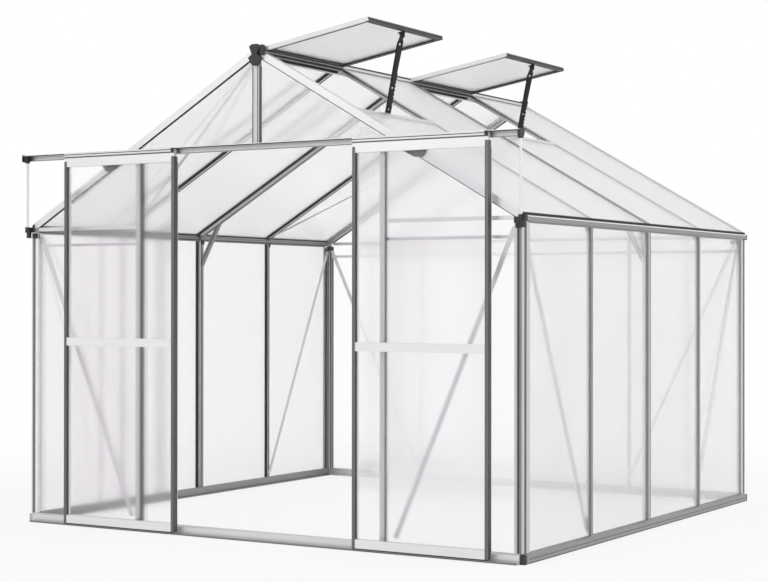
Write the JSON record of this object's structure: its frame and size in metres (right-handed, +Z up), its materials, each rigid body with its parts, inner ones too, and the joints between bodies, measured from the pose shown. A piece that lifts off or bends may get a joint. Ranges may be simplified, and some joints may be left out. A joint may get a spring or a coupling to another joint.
{
  "type": "greenhouse",
  "caption": "Walk-in greenhouse with an aluminium frame, translucent twin-wall panels, a gable roof with opening vents, and double sliding doors on a front track.",
  "frame": {"origin": "middle of the whole footprint, door track included, on the ground", "axes": "+X across the front towards the viewer's right, +Y from the door gable to the back, +Z up"},
  "size_m": [2.554, 2.554, 2.1662],
  "materials": {
    "aluminium": "satin mill finish",
    "twin_wall": "translucent twin-wall sheet with fine flutes",
    "black_plastic": "moulded",
    "black_rubber": "extruded seal",
    "clear_rod": "translucent white"
  },
  "bodies": {
    "greenhouse": {"base_frame_front": "aluminium", "base_frame_rear": "aluminium", "base_frame_left": "aluminium", "base_frame_right": "aluminium", "base_corner_pieces": "black_plastic", "front_corner_posts": "aluminium", "rear_corner_posts": "aluminium", "left_wall_bars": "aluminium", "right_wall_bars": "aluminium", "left_middle_post": "aluminium", "right_middle_post": "aluminium", "left_eave_gutter": "aluminium", "right_eave_gutter": "aluminium", "gutter_end_caps": "black_plastic", "left_roof_bars": "aluminium", "right_roof_bars": "aluminium", "middle_rafters": "aluminium", "front_gable_rafters": "aluminium", "rear_gable_rafters": "aluminium", "ridge_beam": "aluminium", "ridge_end_caps": "black_plastic", "door_jambs": "aluminium", "front_cross_bars": "aluminium", "front_king_post": "aluminium", "front_transom": "aluminium", "rear_gable_posts": "aluminium", "rear_cross_bars": "aluminium", "door_track": "aluminium", "track_brackets": "black_plastic", "track_end_stops": "black_plastic", "track_support_rods": "clear_rod", "front_gable_braces": "aluminium", "rear_gable_braces": "aluminium", "left_wall_braces": "aluminium", "right_wall_braces": "aluminium", "roof_braces": "aluminium", "knee_braces": "aluminium", "left_wall_panels": "twin_wall", "right_wall_panels": "twin_wall", "front_gable_panels": "twin_wall", "rear_gable_panels": "twin_wall", "left_roof_panels": "twin_wall", "right_roof_panels": "twin_wall", "roof_edge_seals": "black_rubber", "vent_sills": "aluminium", "vent_frames": "aluminium", "vent_panels": "twin_wall", "vent_stays": "black_plastic"},
    "left_door": {"left_door_frame": "aluminium", "left_door_panels": "twin_wall", "left_door_rollers": "black_plastic"},
    "right_door": {"right_door_frame": "aluminium", "right_door_panels": "twin_wall", "right_door_rollers": "black_plastic"}
  },
  "joints": [
    {"name": "left_door_slide", "type": "slide", "parent": "greenhouse", "child": "left_door", "axis": [1, 0, 0], "range_m": [-0.222, 0.4]},
    {"name": "right_door_slide", "type": "slide", "parent": "greenhouse", "child": "right_door", "axis": [1, 0, 0], "range_m": [-0.503, 0.119]}
  ]
}
